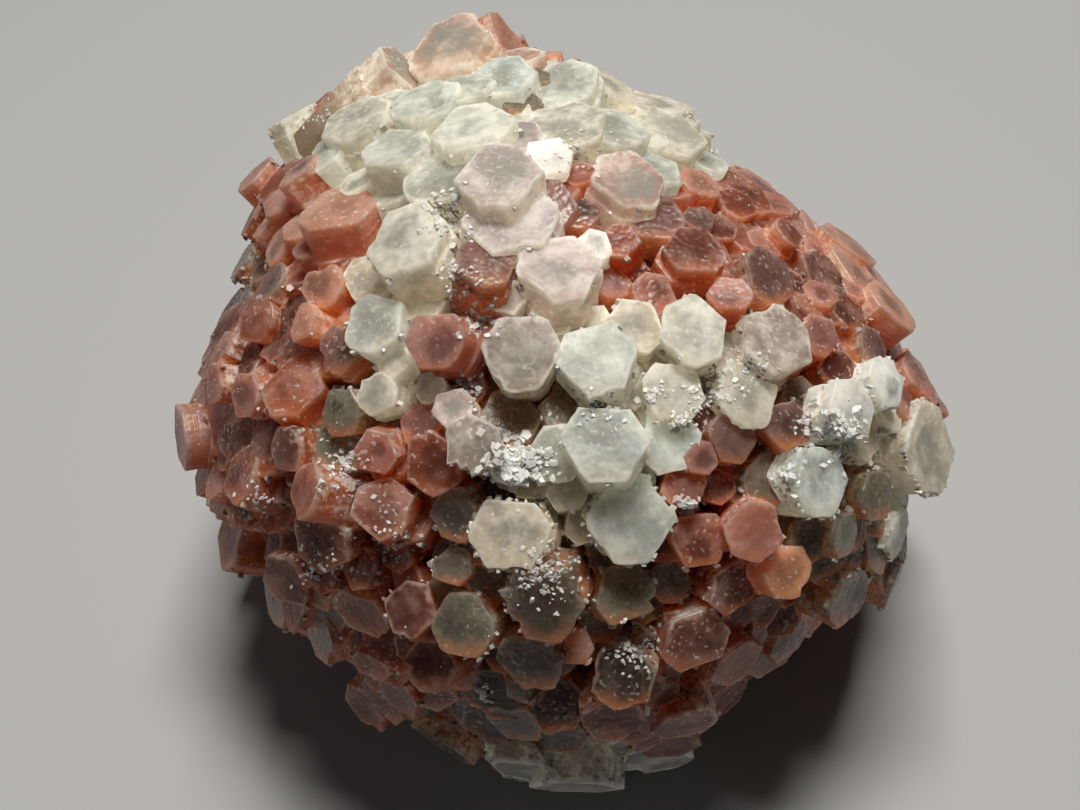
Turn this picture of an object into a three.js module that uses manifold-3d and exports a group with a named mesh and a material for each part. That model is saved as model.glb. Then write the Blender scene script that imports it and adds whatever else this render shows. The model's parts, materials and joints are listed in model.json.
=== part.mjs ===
// Aragonite cluster: a ball of intergrown six-sided crystals that radiate from one growth centre.
// Millimetres, +Z up, the viewed side toward -Y, origin at the bottom centre of the bounding box.
import * as THREE from 'three';
import { mergeVertices } from 'three/addons/utils/BufferGeometryUtils.js';
import Module from 'manifold-3d';

// Driving dimensions
const viewHeight = 50; // degrees, how steeply the crystal list below looks down on the cluster
const eyeDistance = 150; // from the cluster's middle to the point that the list is read from
const frontDepth = 35; // middle to the crystal ends nearest that point
const rimDepth = 8; // the same, at the outline
const backDepth = 31; // middle to the crystal ends on the far side
const restDepth = 26.5; // middle down to the flat that the cluster rests on
const rootInset = 5; // crystal ends stand this far out of the solid root, except round the flat
const crystalLength = 12;
const cornerShare = 1.08; // width over corners for a listed mean width
const stemTaper = 0.86; // a crystal's inner end as a share of its outer end
const sectionSquash = 0.1; // how far a crystal's section may differ from a regular hexagon, as a share
const fillerCount = 130; // over the whole ball, before some are left out
const fillerAcross = 11;
const fillerReach = 0.95; // how far out the filler crystals end, as a share of the dome
const fillerUnevenness = 0.02; // how much their reach differs, as a share
const fillerSpread = 0.12; // the same for their width
const frontNarrowing = 0.2; // how much narrower fillers are where they face the eye
const fillerSpacing = 6.5; // nearest that a filler crystal comes to a listed one
const rootReach = 0.97; // the root's outline before the inset, as a share of the cluster's
const bareFrom = 0.5; // how far down, as a share of the radius, the root starts to lose its inset
const bareTo = 0.75; // and where it has lost it
const goldenAngle = Math.PI * (3 - Math.sqrt(5));
const stoneColour = 0xb98a7c;

// The growth centre, in the list's own axes: across, up the view, toward the eye
const growthCentre = new THREE.Vector3(1.6, -8.2, -4);

// The outline as seen from the eye: degrees counter-clockwise from the right, distance from the middle
const outline = [
  [-180, 38], [-165, 35], [-150, 34.5], [-135, 33.5], [-120, 34.5], [-105, 36], [-90, 37.5],
  [-75, 37], [-60, 33], [-45, 33], [-30, 36.5], [-10, 38], [0, 38], [15, 36], [30, 33.5],
  [45, 30.5], [60, 30.5], [75, 33], [90, 35], [108, 40], [122, 39], [135, 38], [150, 35],
  [165, 35], [180, 38],
];

// Crystals seen from the eye: across the view, up the view, width over corners, rise out of the dome,
// and, where a crystal leans away from its neighbours, the lean across and up the view
const topCrystals = [
  [-27, 29.4, 4.8, 0], [-15.4, 34.4, 6.6, 0, 1.2, -0.3], [-20.3, 29.2, 7, 0.5], [-16.5, 26.3, 6, 0],
  [-23.3, 26, 5.5, 0], [-30.6, 23.6, 5, 0], [-30.8, 19.6, 5.5, 0.5], [-22.3, 20.2, 7.8, 1],
  [-13.5, 31, 6, 0], [-11.3, 37, 7.5, 0], [-4.6, 37, 6, 0], [-5.7, 34, 6, 0], [0, 33.3, 6.4, 0],
  [-8.7, 28.8, 7.5, 0], [-6, 31.3, 5, -1], [-11.5, 23.5, 8, 1], [0.5, 28.8, 7, 0.5],
  [5.2, 28.5, 6, 0], [5.2, 32.8, 6.5, 0], [10.8, 28.4, 7, 0], [-3.8, 27.5, 5, -1],
  [-1.2, 25.3, 4.8, 1], [-6, 23.6, 8.8, 2.5], [-5, 19.3, 9, 0.5], [7, 23.2, 8, 1.5],
  [9.7, 19, 5.5, 0], [21.2, 20.8, 4.8, 0], [13.5, 16, 6.3, 1.5], [21, 13.4, 6.5, 0.5],
  [28.8, 16.8, 7, 1],
];
const leftCrystals = [
  [-28.2, 16.6, 5, 0], [-29.2, 12.5, 5.2, 0.5], [-23.8, 12.4, 5, 1.5], [-22.3, 6, 5.5, 0],
  [-18.7, 8.8, 6.8, 1.5], [-19, 13.5, 6, -1], [-15.3, 17.3, 9, 1.5], [-12.6, 7, 6.4, 1.5],
  [-26.7, 2.3, 7, 0.5], [-31.6, 1.5, 5, 0], [-34, 6, 5, 0], [-30.5, 9, 5, 0], [-22, -0.3, 5.4, 0],
  [-37.4, -2.5, 6, 1], [-7.4, 14.8, 6.4, 0.5], [-8, 8.6, 5, 0], [-3.9, 5.8, 7.9, 2],
];
const middleCrystals = [
  [0, 14.3, 8.4, 2], [3.7, 5.2, 8, 2], [7.3, 8.3, 6, 0.5], [11.4, 1.8, 6.6, 1],
  [11, -3.3, 6.5, 0.5], [4.5, -3.3, 8.4, 2.5], [-0.4, -4.5, 6, 0.5], [-8.8, -3.5, 6.2, 2],
  [-14, -1.2, 5, 0], [-12.7, -5.4, 6.4, 0.5], [-5, -5.4, 5, 0.5], [-10.4, -10.5, 5.8, 0],
  [-5.2, -12.5, 7.8, 2], [7.3, -11, 9, 2], [13.5, 8, 7.3, 1.5], [21.8, 7, 7.9, 2],
  [19, 1.6, 7, 0.5], [9.4, 11.6, 4.8, 0],
];
const rightCrystals = [
  [33.2, 10.6, 6.8, 0.5], [31.5, 6, 5, -0.5], [36, 4, 5, 0], [30.3, 1.3, 8, 2.5],
  [17.3, -2.8, 5.2, 0], [22.8, -1.5, 5, 0.5], [20.9, -7, 5.6, 0], [26, -7, 7.4, 2],
  [12.4, -7.4, 4.8, -1], [14, -13, 5.9, 0.5], [19.5, -12.2, 6.3, 1], [22.8, -16.2, 5.7, 2],
  [37.6, -3.6, 8.5, 0.5], [31.2, -8.5, 5, -0.5], [25, -13, 5, -0.5], [33.2, -12, 5, 0],
  [29, -19.2, 7, 0.5], [33, -17.5, 5, 0], [17.4, -17.8, 5.3, 0.5], [13.8, -23.2, 7, 0.5],
  [18.3, -25.3, 6, 0.5], [23, -23, 5, 0],
];
const bottomCrystals = [
  [6.6, -18.5, 6.4, 0], [-1.7, -19.4, 8.5, 1.5], [-9.8, -21.5, 6.8, 1], [-7, -17.3, 5, 0],
  [-3, -25.4, 6.8, 1], [6.3, -26.8, 6.8, 1.5], [5.3, -31.2, 6.4, 1], [0, -29.8, 5.8, 0],
  [-4.5, -31.4, 5.8, 0], [1.8, -37, 8.4, 1], [-4.2, -35.6, 4.8, 0], [-13, -25.3, 5.8, 0.5],
  [-11.8, -34, 7, 0.5], [-19.6, -29.8, 5.8, 0], [-24, -23, 5.4, 0], [-20, -20.5, 6, 0.5],
  [-14.9, -20, 5.6, 0], [12.6, -32, 6, 0.5], [16.8, -28.8, 5.8, 0],
];
const lowerLeftCrystals = [
  [-32, -6.5, 6, 0], [-27.5, -4, 5, 0], [-33, -12.6, 7.2, 0.5], [-23.9, -13, 6.8, 1],
  [-25.2, -8, 6, 0.5], [-17.8, -9.8, 6.2, 1], [-16.8, -14.2, 4.8, 0], [-27.6, -17.2, 6, 0],
  [-24.5, -18, 5, -0.5],
];
const frontCrystals = [
  ...topCrystals, ...leftCrystals, ...middleCrystals, ...rightCrystals, ...bottomCrystals,
  ...lowerLeftCrystals,
];

const wasm = await Module();
wasm.setup();

const steepness = THREE.MathUtils.degToRad(viewHeight);
const viewToPart = new THREE.Matrix4().makeBasis(
  new THREE.Vector3(1, 0, 0),
  new THREE.Vector3(0, Math.sin(steepness), Math.cos(steepness)),
  new THREE.Vector3(0, -Math.cos(steepness), Math.sin(steepness)),
);
const upInView = new THREE.Vector3(0, Math.cos(steepness), Math.sin(steepness));

function solidFrom(geometry) {
  geometry.deleteAttribute('normal');
  geometry.deleteAttribute('uv');
  const merged = mergeVertices(geometry);
  const vertProperties = new Float32Array(merged.attributes.position.array);
  const triVerts = new Uint32Array(merged.index.array);
  return new wasm.Manifold(new wasm.Mesh({ numProp: 3, vertProperties, triVerts }));
}

function geometryFrom(solid) {
  const mesh = solid.getMesh();
  const geometry = new THREE.BufferGeometry();
  geometry.setAttribute('position', new THREE.BufferAttribute(mesh.vertProperties, 3));
  geometry.setIndex(new THREE.BufferAttribute(mesh.triVerts, 1));
  return geometry;
}

function outlineRadius(across, up) {
  const angle = THREE.MathUtils.radToDeg(Math.atan2(up, across));
  const next = outline.findIndex(([degrees]) => degrees >= angle);
  const [endAngle, endRadius] = outline[Math.max(next, 1)];
  const [startAngle, startRadius] = outline[Math.max(next, 1) - 1];
  const share = (angle - startAngle) / (endAngle - startAngle);
  return THREE.MathUtils.lerp(startRadius, endRadius, THREE.MathUtils.smoothstep(share, 0, 1));
}

// A crystal seen at (across, up) is carried out along the line of sight to the dome
function frontEnd(across, up, rise) {
  const share = Math.min(Math.hypot(across, up) / outlineRadius(across, up), 1);
  const dome = frontDepth * Math.sqrt(1 - share ** 2) + rimDepth * share ** 2;
  const depth = dome + rise;
  const nearness = (eyeDistance - depth) / eyeDistance;
  return new THREE.Vector3(across * nearness, up * nearness, depth);
}

const listedEnds = frontCrystals.map(([across, up, , rise]) => frontEnd(across, up, rise));

// A hexagonal prism from its outer end inward; no two have quite the same section
function crystalSolid(end, outward, across, serial) {
  const radius = across / 2;
  const prism = new THREE.CylinderGeometry(radius, radius * stemTaper, crystalLength, 6);
  const squash = 1 + sectionSquash * Math.sin(serial * 2.4);
  prism.scale(squash, 1, 1 / squash);
  prism.translate(0, -crystalLength / 2, 0);
  prism.rotateY(serial * 0.7);
  const stand = new THREE.Quaternion().setFromUnitVectors(new THREE.Vector3(0, 1, 0), outward);
  prism.applyQuaternion(stand);
  prism.translate(end.x, end.y, end.z);
  prism.applyMatrix4(viewToPart);
  return solidFrom(prism);
}

function frontCrystal([across, up, width, rise, leanAcross = 0, leanUp = 0], serial) {
  const end = frontEnd(across, up, rise);
  const outward = end.clone().sub(growthCentre).normalize();
  outward.add(new THREE.Vector3(leanAcross, leanUp, 0)).normalize();
  const trueWidth = (cornerShare * width * (eyeDistance - end.z)) / eyeDistance;
  return crystalSolid(end, outward, trueWidth, serial);
}

// Where no crystal is listed, above all on the far side, a spiral of evenly spaced ones covers the dome
function fillerCrystals() {
  const solids = [];
  for (let serial = 0; serial < fillerCount; serial += 1) {
    const height = 1 - (2 * serial + 1) / fillerCount;
    const angle = serial * goldenAngle;
    const ring = Math.sqrt(1 - height ** 2) * outlineRadius(Math.cos(angle), Math.sin(angle));
    const depth = height * (height > 0 ? frontDepth : backDepth);
    const end = new THREE.Vector3(Math.cos(angle) * ring, Math.sin(angle) * ring, depth);
    end.multiplyScalar(fillerReach + fillerUnevenness * Math.sin(serial * 1.7));
    const isUnderFlat = end.dot(upInView) < -restDepth;
    const isCovered = listedEnds.some((listed) => listed.distanceTo(end) < fillerSpacing);
    if (!isUnderFlat && !isCovered) {
      const outward = end.clone().sub(growthCentre).normalize();
      const narrowing = 1 - frontNarrowing * Math.max(height, 0);
      const spread = 1 + fillerSpread * Math.sin(serial * 2.9);
      solids.push(crystalSolid(end, outward, fillerAcross * narrowing * spread, serial));
    }
  }
  return solids;
}

// The solid root that all the crystals stand in; below, it comes out to the flat
function rootSolid() {
  const root = new THREE.IcosahedronGeometry(1, 2);
  root.deleteAttribute('normal');
  root.deleteAttribute('uv');
  const merged = mergeVertices(root);
  const points = merged.attributes.position;
  for (let index = 0; index < points.count; index += 1) {
    const point = new THREE.Vector3().fromBufferAttribute(points, index);
    const reach = outlineRadius(point.x, point.y) * rootReach;
    const depth = point.z > 0 ? frontDepth : backDepth;
    const radius = 1 / Math.hypot(Math.hypot(point.x, point.y) / reach, point.z / depth);
    const bare = THREE.MathUtils.smoothstep(-point.dot(upInView), bareFrom, bareTo);
    point.multiplyScalar(radius - rootInset * (1 - bare));
    points.setXYZ(index, point.x, point.y, point.z);
  }
  merged.applyMatrix4(viewToPart);
  return solidFrom(merged);
}

// Everything under the flat that the cluster rests on
function groundSolid() {
  const size = 4 * frontDepth;
  const block = new THREE.BoxGeometry(size, size, size);
  block.translate(0, 0, -restDepth - size / 2);
  return solidFrom(block);
}

function clusterGeometry() {
  let cluster = rootSolid();
  const crystals = [...frontCrystals.map(frontCrystal), ...fillerCrystals()];
  for (const crystal of crystals) {
    cluster = cluster.add(crystal);
  }
  cluster = cluster.subtract(groundSolid());
  const bodies = cluster.decompose();
  bodies.sort((one, other) => other.volume() - one.volume());
  const geometry = geometryFrom(bodies[0]);
  geometry.computeBoundingBox();
  const box = geometry.boundingBox;
  const middle = box.getCenter(new THREE.Vector3());
  geometry.translate(-middle.x, -middle.y, -box.min.z);
  geometry.computeVertexNormals();
  return geometry;
}

const stone = new THREE.MeshStandardMaterial({ color: stoneColour, roughness: 0.35, metalness: 0 });
const crystalCluster = new THREE.Mesh(clusterGeometry(), stone);
crystalCluster.name = 'crystal_cluster';

const aragoniteCluster = new THREE.Group();
aragoniteCluster.add(crystalCluster);
export default aragoniteCluster;
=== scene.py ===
# Aragonite cluster: one natural solid of intergrown six-sided crystals that radiate from one centre.
# Lengths are worked out in millimetres and written to the meshes in metres.
import json
import math
import random

import bmesh
import bpy
from mathutils import Matrix, Vector
from mathutils.bvhtree import BVHTree

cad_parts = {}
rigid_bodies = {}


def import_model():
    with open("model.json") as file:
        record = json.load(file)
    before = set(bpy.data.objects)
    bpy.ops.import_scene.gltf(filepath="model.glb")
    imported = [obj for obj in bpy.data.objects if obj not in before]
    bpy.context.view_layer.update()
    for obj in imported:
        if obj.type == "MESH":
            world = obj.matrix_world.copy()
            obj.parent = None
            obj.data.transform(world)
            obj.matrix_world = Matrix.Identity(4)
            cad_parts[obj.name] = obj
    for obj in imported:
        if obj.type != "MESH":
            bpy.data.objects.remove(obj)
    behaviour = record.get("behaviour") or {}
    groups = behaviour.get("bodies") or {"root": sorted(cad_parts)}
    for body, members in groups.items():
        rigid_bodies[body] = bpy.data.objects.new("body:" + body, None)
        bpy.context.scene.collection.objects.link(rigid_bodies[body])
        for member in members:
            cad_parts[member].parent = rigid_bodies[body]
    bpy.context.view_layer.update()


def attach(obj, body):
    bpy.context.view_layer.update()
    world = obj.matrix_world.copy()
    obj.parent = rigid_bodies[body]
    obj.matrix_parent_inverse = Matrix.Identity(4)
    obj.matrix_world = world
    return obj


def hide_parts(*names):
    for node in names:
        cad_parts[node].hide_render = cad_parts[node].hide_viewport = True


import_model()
mm = 0.001
scene = bpy.context.scene

# The crystals are listed as they stand from an eye point: the axes of the list run across the view,
# up the view and toward the eye
dome = {
    "viewHeight": 50.0,  # degrees above the floor
    "eyeDistance": 150.0,
    "frontDepth": 35.0,  # from the middle toward the eye
    "rimDepth": 8.0,  # where the outline lies, toward the eye
    "backDepth": 31.0,
    "restDepth": 26.5,  # from the middle down to the flat
    "middleBack": 0.9,  # how far the ball's middle lies behind the middle of the box
    "growthCentre": Vector((1.6, -8.2, -4.0)),  # all the crystals point away from here
}
outline = [  # degrees counter-clockwise from the right, distance from the middle
    (-180, 38), (-165, 35), (-150, 34.5), (-135, 33.5), (-120, 34.5), (-105, 36), (-90, 37.5),
    (-75, 37), (-60, 33), (-45, 33), (-30, 36.5), (-10, 38), (0, 38), (15, 36), (30, 33.5),
    (45, 30.5), (60, 30.5), (75, 33), (90, 35), (108, 40), (122, 39), (135, 38), (150, 35),
    (165, 35), (180, 38),
]

# Crystals: across, up, width, rise out of the dome, colour, then turn and lean where they matter.
# Widths are the mean of the one over the corners and the one over the flats
topCrystals = [
    (-27, 29.4, 4.8, 0, "hazy"), (-24.2, 30.8, 3.6, 0, "rust"),
    (-15.6, 34.2, 6, 0, "apricot", 0, 1.2, -0.3), (-20.3, 29.2, 8, 0.3, "hazy"),
    (-16.5, 26.3, 7, 0, "hazy"), (-23.3, 26, 6.2, 0, "hazy"), (-20.3, 23, 4, -1.5, "hazy"),
    (-30.6, 23.6, 5, 0, "rose"), (-26.3, 24, 4.8, 0.5, "clay"), (-30.8, 19.6, 5.5, 0.5, "rust"),
    (-22.3, 20.2, 7.8, 1, "clay", 0), (-13.5, 31, 7.4, 0, "hazy"),
    (-11.2, 36.4, 8.6, 0.5, "apricot", 0, 0.1, -0.6), (-5, 36.6, 7, 0, "peach", 0, 0.6, -0.45),
    (-6, 33.4, 7.4, 0, "cool", 0, 0, -0.3), (0.2, 32.8, 7.6, 0, "cool", 20, 0, -0.3),
    (-8.7, 28.4, 8.4, 0, "cool"), (-9.4, 32.4, 5.6, -0.6, "hazy"), (-11.5, 23.8, 8.8, 0.4, "hazy"),
    (0.5, 28.6, 8, 0.2, "hazy"), (5.4, 28.3, 7.4, 0, "hazy"),
    (5.4, 32.4, 6.6, 0.3, "cream", 0, 0.5, -0.1), (10.8, 27.8, 8.2, 0.3, "hazy", 0, 0.1, -0.2),
    (14.9, 25, 4.2, 0, "cool"), (-3.8, 27.5, 5, -1, "lilac"), (-1.2, 25.3, 4.8, 1, "paintedGlint"),
    (-6, 23.6, 8.8, 2.5, "lilac", 0), (-5, 19.3, 9, 0.5, "lilac"), (2, 23.7, 3.5, -2, "rust"),
    (1.6, 19.8, 4.6, -1, "mauve"), (7, 23.2, 8, 1.5, "blush"), (9.7, 19, 5.5, 0, "mauve"),
    (6, 17, 4.2, -1, "rust"), (14, 22.8, 4.6, 0.5, "peach"), (17.8, 20.7, 4.6, 0, "rust"),
    (21.2, 20.8, 4.8, 0, "rose"), (23, 17.8, 3.6, 0, "rust"), (20.5, 16.8, 4, -1, "rose"),
    (14, 19.2, 3.4, 0, "mauve"), (13.5, 16, 6.3, 1.5, "rust"), (21, 13.4, 6.5, 0.5, "mauve"),
    (28.8, 16.8, 7, 1.6, "clay", 0, 0.15, 0.15),
]
leftCrystals = [
    (-28.2, 16.6, 5, 0, "clay"), (-24.9, 16.5, 4, -1, "rose"), (-32, 14.8, 4, 0, "smoky"),
    (-29.2, 12.5, 5.2, 0.5, "mauve"), (-23.8, 12.4, 5, 1.5, "peach"),
    (-25.8, 8.8, 4.4, 0.5, "peach", 0, -0.5, -0.2), (-22.3, 6, 5.5, 0, "mauve"),
    (-18.7, 8.8, 6.8, 1.5, "pale", 30), (-19, 13.5, 6, -1, "cream"),
    (-15.3, 17.3, 9, 1.5, "pale", 5), (-12.6, 7, 6.4, 1.5, "rose", 0), (-26.7, 2.3, 7, 0.5, "rust"),
    (-31.6, 1.5, 5, 0, "rose"), (-34, 6, 5, 0, "rust"), (-30.5, 9, 5, 0, "rust"),
    (-28.5, 6.5, 4, -1, "wine"), (-22, -0.3, 5.4, 0, "olive"), (-16.7, 5, 4, -0.5, "cream"),
    (-18.4, 1.6, 4.4, 0, "pale"), (-13, 2.3, 3.6, -1.5, "lilac"), (-38, -2.8, 7, 4.5, "rose", 0),
    (-7.4, 14.8, 6.4, 0.5, "mauve"), (-5.4, 11.4, 4, -0.5, "lilac"), (-8, 8.6, 5, 0, "rose"),
    (-1, 9.2, 4.6, -0.5, "white"), (-3.9, 5.8, 7.9, 2, "ashen", 0, 0.05, -0.3),
    (-34.8, 2.5, 4.5, -0.5, "rust"),
]
middleCrystals = [
    (0, 14.3, 8.4, 2, "lilac", 12), (3.2, 16.4, 4, 0.5, "paintedGlint"), (3.7, 5.2, 8, 2, "pale", 12),
    (7.3, 8.3, 6, 0.5, "cream"), (11.4, 1.8, 6.6, 1, "pale"), (11, -3.3, 6.5, 0.5, "cool"),
    (4.5, -3.3, 8.4, 2.5, "cool", 0), (-0.4, -4.5, 6, 0.5, "cool"), (-2, 0.8, 4.6, -1.5, "olive"),
    (-9, 2.2, 3.6, -2, "wine"), (-10.8, 0.3, 4.3, 0.5, "lilac"), (-8.8, -3.5, 6.2, 2, "ashen", 30),
    (-14, -1.2, 5, 0, "rose"), (-12.7, -5.4, 6.4, 1.2, "rust", 30), (-5, -5.4, 4.4, 0.2, "white"),
    (-10.4, -10.5, 5.8, 0, "smoky"), (-5.2, -12.5, 7.8, 2, "cream", 0), (7.3, -11, 9, 2, "cool", 0),
    (0.7, -8.3, 4, -1, "cream"), (13.5, 8, 7.3, 1.5, "pale", 20), (21.8, 7, 7.9, 2, "ashen", 30),
    (19, 1.6, 7, 0.5, "cream"), (17, 11.7, 4.5, 0.5, "rose"), (9.4, 11.6, 4.8, 0, "rust"),
    (5.3, 12.7, 4, 0, "rose"),
]
rightCrystals = [
    (26, 7.5, 4.5, 0, "rose"), (33.2, 10.6, 6.8, 1.5, "clay", 0, 0.2, 0.2),
    (31.5, 6, 5, -0.5, "mauve"), (35.8, 3.6, 5.4, 1.5, "rose", 0, 0.1, 0.1),
    (28, 4, 4.5, -1, "wine"), (29.2, 0.2, 6.2, 2.5, "white", 8), (32.8, 2.9, 5.4, 3.2, "white", 8),
    (24, 1.5, 4.2, -1, "smoky"), (17.3, -2.8, 5.2, 0, "mauve"), (14.3, -4.8, 3.6, -0.5, "rose"),
    (22.8, -1.5, 5, 0.5, "mauve"), (20.9, -7, 5.6, 0, "smoky"), (26, -7, 7.4, 2, "cool", 0),
    (12.4, -7.4, 4.8, -1, "rust"), (15.7, -7.6, 3.8, -1.5, "wine"), (18.3, -8, 3.4, -1, "olive"),
    (14, -13, 5.9, 0.5, "rust"), (19.5, -12.2, 6.3, 1, "rose"), (22.8, -16.2, 5.9, 3.2, "ember", 0),
    (37.2, -3.8, 9.2, 6, "cream", 0, -0.2, 0), (31.8, -8.6, 5.4, 1, "olive", 0, 0.3, -0.1),
    (25, -13, 5, -0.5, "olive"), (28.6, -12.6, 5, 1.6, "olive", 0, 0.3, -0.2),
    (34, -12.4, 5.2, 1.6, "cool", 0, 0.3, -0.2), (29, -19, 6.4, 3, "smoky", 0, 0.3, -0.25),
    (33.5, -17.5, 5.4, 2.5, "smoky", 20, 0.3, -0.2), (17.4, -17.8, 5.6, 2, "wine", 20, 0.2, -0.2),
    (11, -17.3, 4.5, 0, "smoky"), (13.6, -23.2, 7, 2.5, "wine", 15, -0.1, -0.2),
    (17.8, -25.5, 6.4, 3, "rust", 10, 0.2, -0.25), (23, -23, 5.4, 2.5, "mauve", 0, 0.3, -0.2),
    (20.5, -20, 4.5, 0, "rust"),
]
bottomCrystals = [
    (6.6, -18.5, 6.4, 0, "olive"), (-1.7, -19.4, 8.5, 1.5, "smoky", 0),
    (-9.8, -21.6, 6.8, 2.4, "olive", 0), (-7, -17.3, 5, 0, "smoky"),
    (-10.8, -15.6, 4.2, 0, "smoky"), (-3, -25.4, 6.8, 1, "smokyPaintedShade"), (1.6, -23.8, 3.8, 0.6, "peach"),
    (4, -21.5, 4.6, -1, "olive"), (6.3, -26.8, 6.8, 1.5, "smokyPaintedShade"), (5.3, -31.2, 6.4, 1, "wine"),
    (0, -29.8, 5.8, 0, "smokyPaintedShade"), (-4.5, -31.4, 5.8, 0, "smokyPaintedShade"),
    (1.8, -37.8, 9.4, 6, "slate", 0, 0, -0.9), (-4.2, -35.6, 4.8, 1.5, "slate", 0, 0, -0.8),
    (-13, -25.3, 6, 2, "wine", 0), (-11.8, -33.6, 7, 3, "smokyPaintedShade", 10, -0.3, -0.4),
    (-19.6, -29.8, 5.8, 0, "wine"), (-19, -25.7, 4.2, 0, "rust"), (-24, -22.6, 5.8, 2, "mauve", 0),
    (-20, -20.5, 6.2, 2.6, "rust", 0, -0.1, -0.2), (-14.9, -20, 5.6, 1.4, "wine"),
    (12.6, -31.6, 6.4, 3, "wine", 0, 0.2, -0.3), (16.8, -28.8, 5.8, 0, "wine"),
    (10, -28.6, 4.5, -0.5, "rust"),
]
lowerLeftCrystals = [
    (-32, -6.5, 6.2, 1.5, "rust"), (-27.5, -4, 5, 0, "wine"), (-33, -12.4, 7.2, 3, "rust", 0),
    (-24, -13.2, 7, 3, "wine", 30), (-25.6, -8, 6, 2.8, "rust", 0, -0.35, 0),
    (-18.6, -4.3, 4.6, 0.5, "rose"), (-17.8, -9.8, 6.4, 2.6, "rust"),
    (-16.8, -14.2, 4.8, 0, "wine"), (-20.2, -15.8, 4.4, -0.5, "wine"), (-27.6, -17.2, 6, 0, "wine"),
    (-15.4, -17, 3.8, 0, "rust"), (-24.5, -18, 5, -0.5, "rust"),
]
listedCrystals = (
    topCrystals + leftCrystals + middleCrystals + rightCrystals + bottomCrystals + lowerLeftCrystals
)

# What fills the places that the list leaves free: small crystals in front, larger ones on the far
# side. They end at the given share of the dome, some deeper and some shallower
fillers = [
    {"count": 1350, "width": 5.0, "depths": (-6.0, 99.0), "reach": 0.945, "uneven": 0.03,
     "clearance": 0.225},
    {"count": 620, "width": 7.2, "depths": (-99.0, -6.0), "reach": 0.96, "uneven": 0.06,
     "clearance": 0.3},
]
fillerSpread = 0.3  # how much their widths differ, as a share
sameColourWithin = 6.0  # mm from a listed crystal, where they take their colour after it

crystalShape = {
    "length": 12.0,
    "stemTaper": 0.97,
    "cornerShare": 1.08,  # width over the corners for a listed width
    "flatShare": 0.866,  # width over the flats for one over the corners
    "pointSpacing": 0.6,  # mm between points along a side
    "fillerPointSpacing": 1.8,
    "sideShift": 0.085,  # how unequal the six sides are, as a share of the half width
    "sideSwing": 4.0,  # degrees
    "blunt": 0.95,  # how near the middle the bluntest corners are cut, as a share of the half width
    "sharp": 1.02,
    "rimDrop": 0.1,  # mm, how far the end's edge is broken
    "peak": 0.16,  # mm, how far the middle of an end may stand up or down
    "plate": 1.7,  # mm from one step in the sides to the next
    "plates": 2,
    "plateSpread": 0.7,  # how much that differs, as a share
    "ledge": 0.3,  # mm, how deep the steps are at most
    "ledgeHeight": 0.1,  # mm
    "heartShift": 0.3,  # how far off the middle an end's heart lies, as a share of the half width
    "tooth": {"milky": 0.13, "glassy": 0.12, "rusty": 0.08},  # mm, raggedness of the edges
    "cleanest": 0.4,  # some sides have only that share of it
    "roughest": 2.4,  # and some as much as that
    "notches": 0.04,  # share of the points that are chipped, by twice the raggedness
    "turn": 18.0,  # degrees a listed crystal is turned at most, where the list says nothing
    "fillerTurn": 60.0,
    "wobble": {"milky": 0.1, "glassy": 0.22, "rusty": 0.26},  # a lean of its own for every crystal
    "stagger": {"milky": 0.45, "glassy": 1.0, "rusty": 1.3},  # mm that neighbours rise or fall
    "tint": 0.14,  # how much lighter or darker a crystal is than its tone
    "warmth": 0.05,
}

# Colours of the stone, linear; the first word is the finish that carries the colour. Two tones carry
# painted shade and one a painted highlight, as noted beside them
tones = {
    "pale": ("milky", (0.64, 0.63, 0.53)),
    "hazy": ("milky", (0.48, 0.48, 0.4)),
    "cool": ("milky", (0.53, 0.56, 0.49)),
    "cream": ("milky", (0.62, 0.54, 0.41)),
    "ashen": ("milky", (0.33, 0.25, 0.21)),
    "white": ("milky", (0.82, 0.8, 0.74)),
    # near white: a painted highlight on caps that are also turned to mirror the key light
    "paintedGlint": ("milky", (0.9, 0.89, 0.88)),
    "lilac": ("milky", (0.46, 0.36, 0.34)),
    "blush": ("milky", (0.5, 0.28, 0.21)),
    "apricot": ("milky", (0.62, 0.39, 0.28)),
    # grey, darkened as painted shade for the shaded prisms at the bottom
    "slate": ("milky", (0.17, 0.17, 0.155)),
    "mauve": ("glassy", (0.27, 0.13, 0.105)),
    "smoky": ("glassy", (0.18, 0.14, 0.105)),
    # dark smoky, darkened further as painted shade for the shaded crystals at the bottom
    "smokyPaintedShade": ("glassy", (0.075, 0.05, 0.035)),
    "olive": ("glassy", (0.24, 0.22, 0.145)),
    "rose": ("rusty", (0.36, 0.15, 0.115)),
    "peach": ("rusty", (0.56, 0.26, 0.165)),
    "clay": ("rusty", (0.44, 0.225, 0.155)),
    "ember": ("rusty", (0.8, 0.33, 0.16)),
    "rust": ("rusty", (0.25, 0.066, 0.034)),
    "wine": ("rusty", (0.125, 0.032, 0.018)),
}
finishes = ["milky", "glassy", "rusty", "rooty"]

# Two fillers in three beside a listed crystal are a shade deeper than it, and the far side has these
# tones in bands
deeperTone = {
    "white": "cream", "paintedGlint": "lilac", "pale": "cream", "cool": "olive", "ashen": "mauve",
    "lilac": "mauve", "blush": "rose", "apricot": "blush", "peach": "rose", "clay": "rose",
    "rose": "rust", "rust": "wine", "mauve": "wine", "smoky": "smokyPaintedShade",
}
farTones = ["wine", "rust", "rust", "rose", "mauve", "blush", "cream", "pale", "cool", "pale"]

steepness = math.radians(dome["viewHeight"])
ballMiddle = Vector((0, dome["middleBack"], dome["restDepth"]))
floorUp = Vector((0, math.cos(steepness), math.sin(steepness)))  # straight up, in the list's axes
viewAxes = Matrix((
    (1, 0, 0),
    (0, math.sin(steepness), -math.cos(steepness)),
    (0, math.cos(steepness), math.sin(steepness)),
))
goldenAngle = math.pi * (3 - math.sqrt(5))


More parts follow.
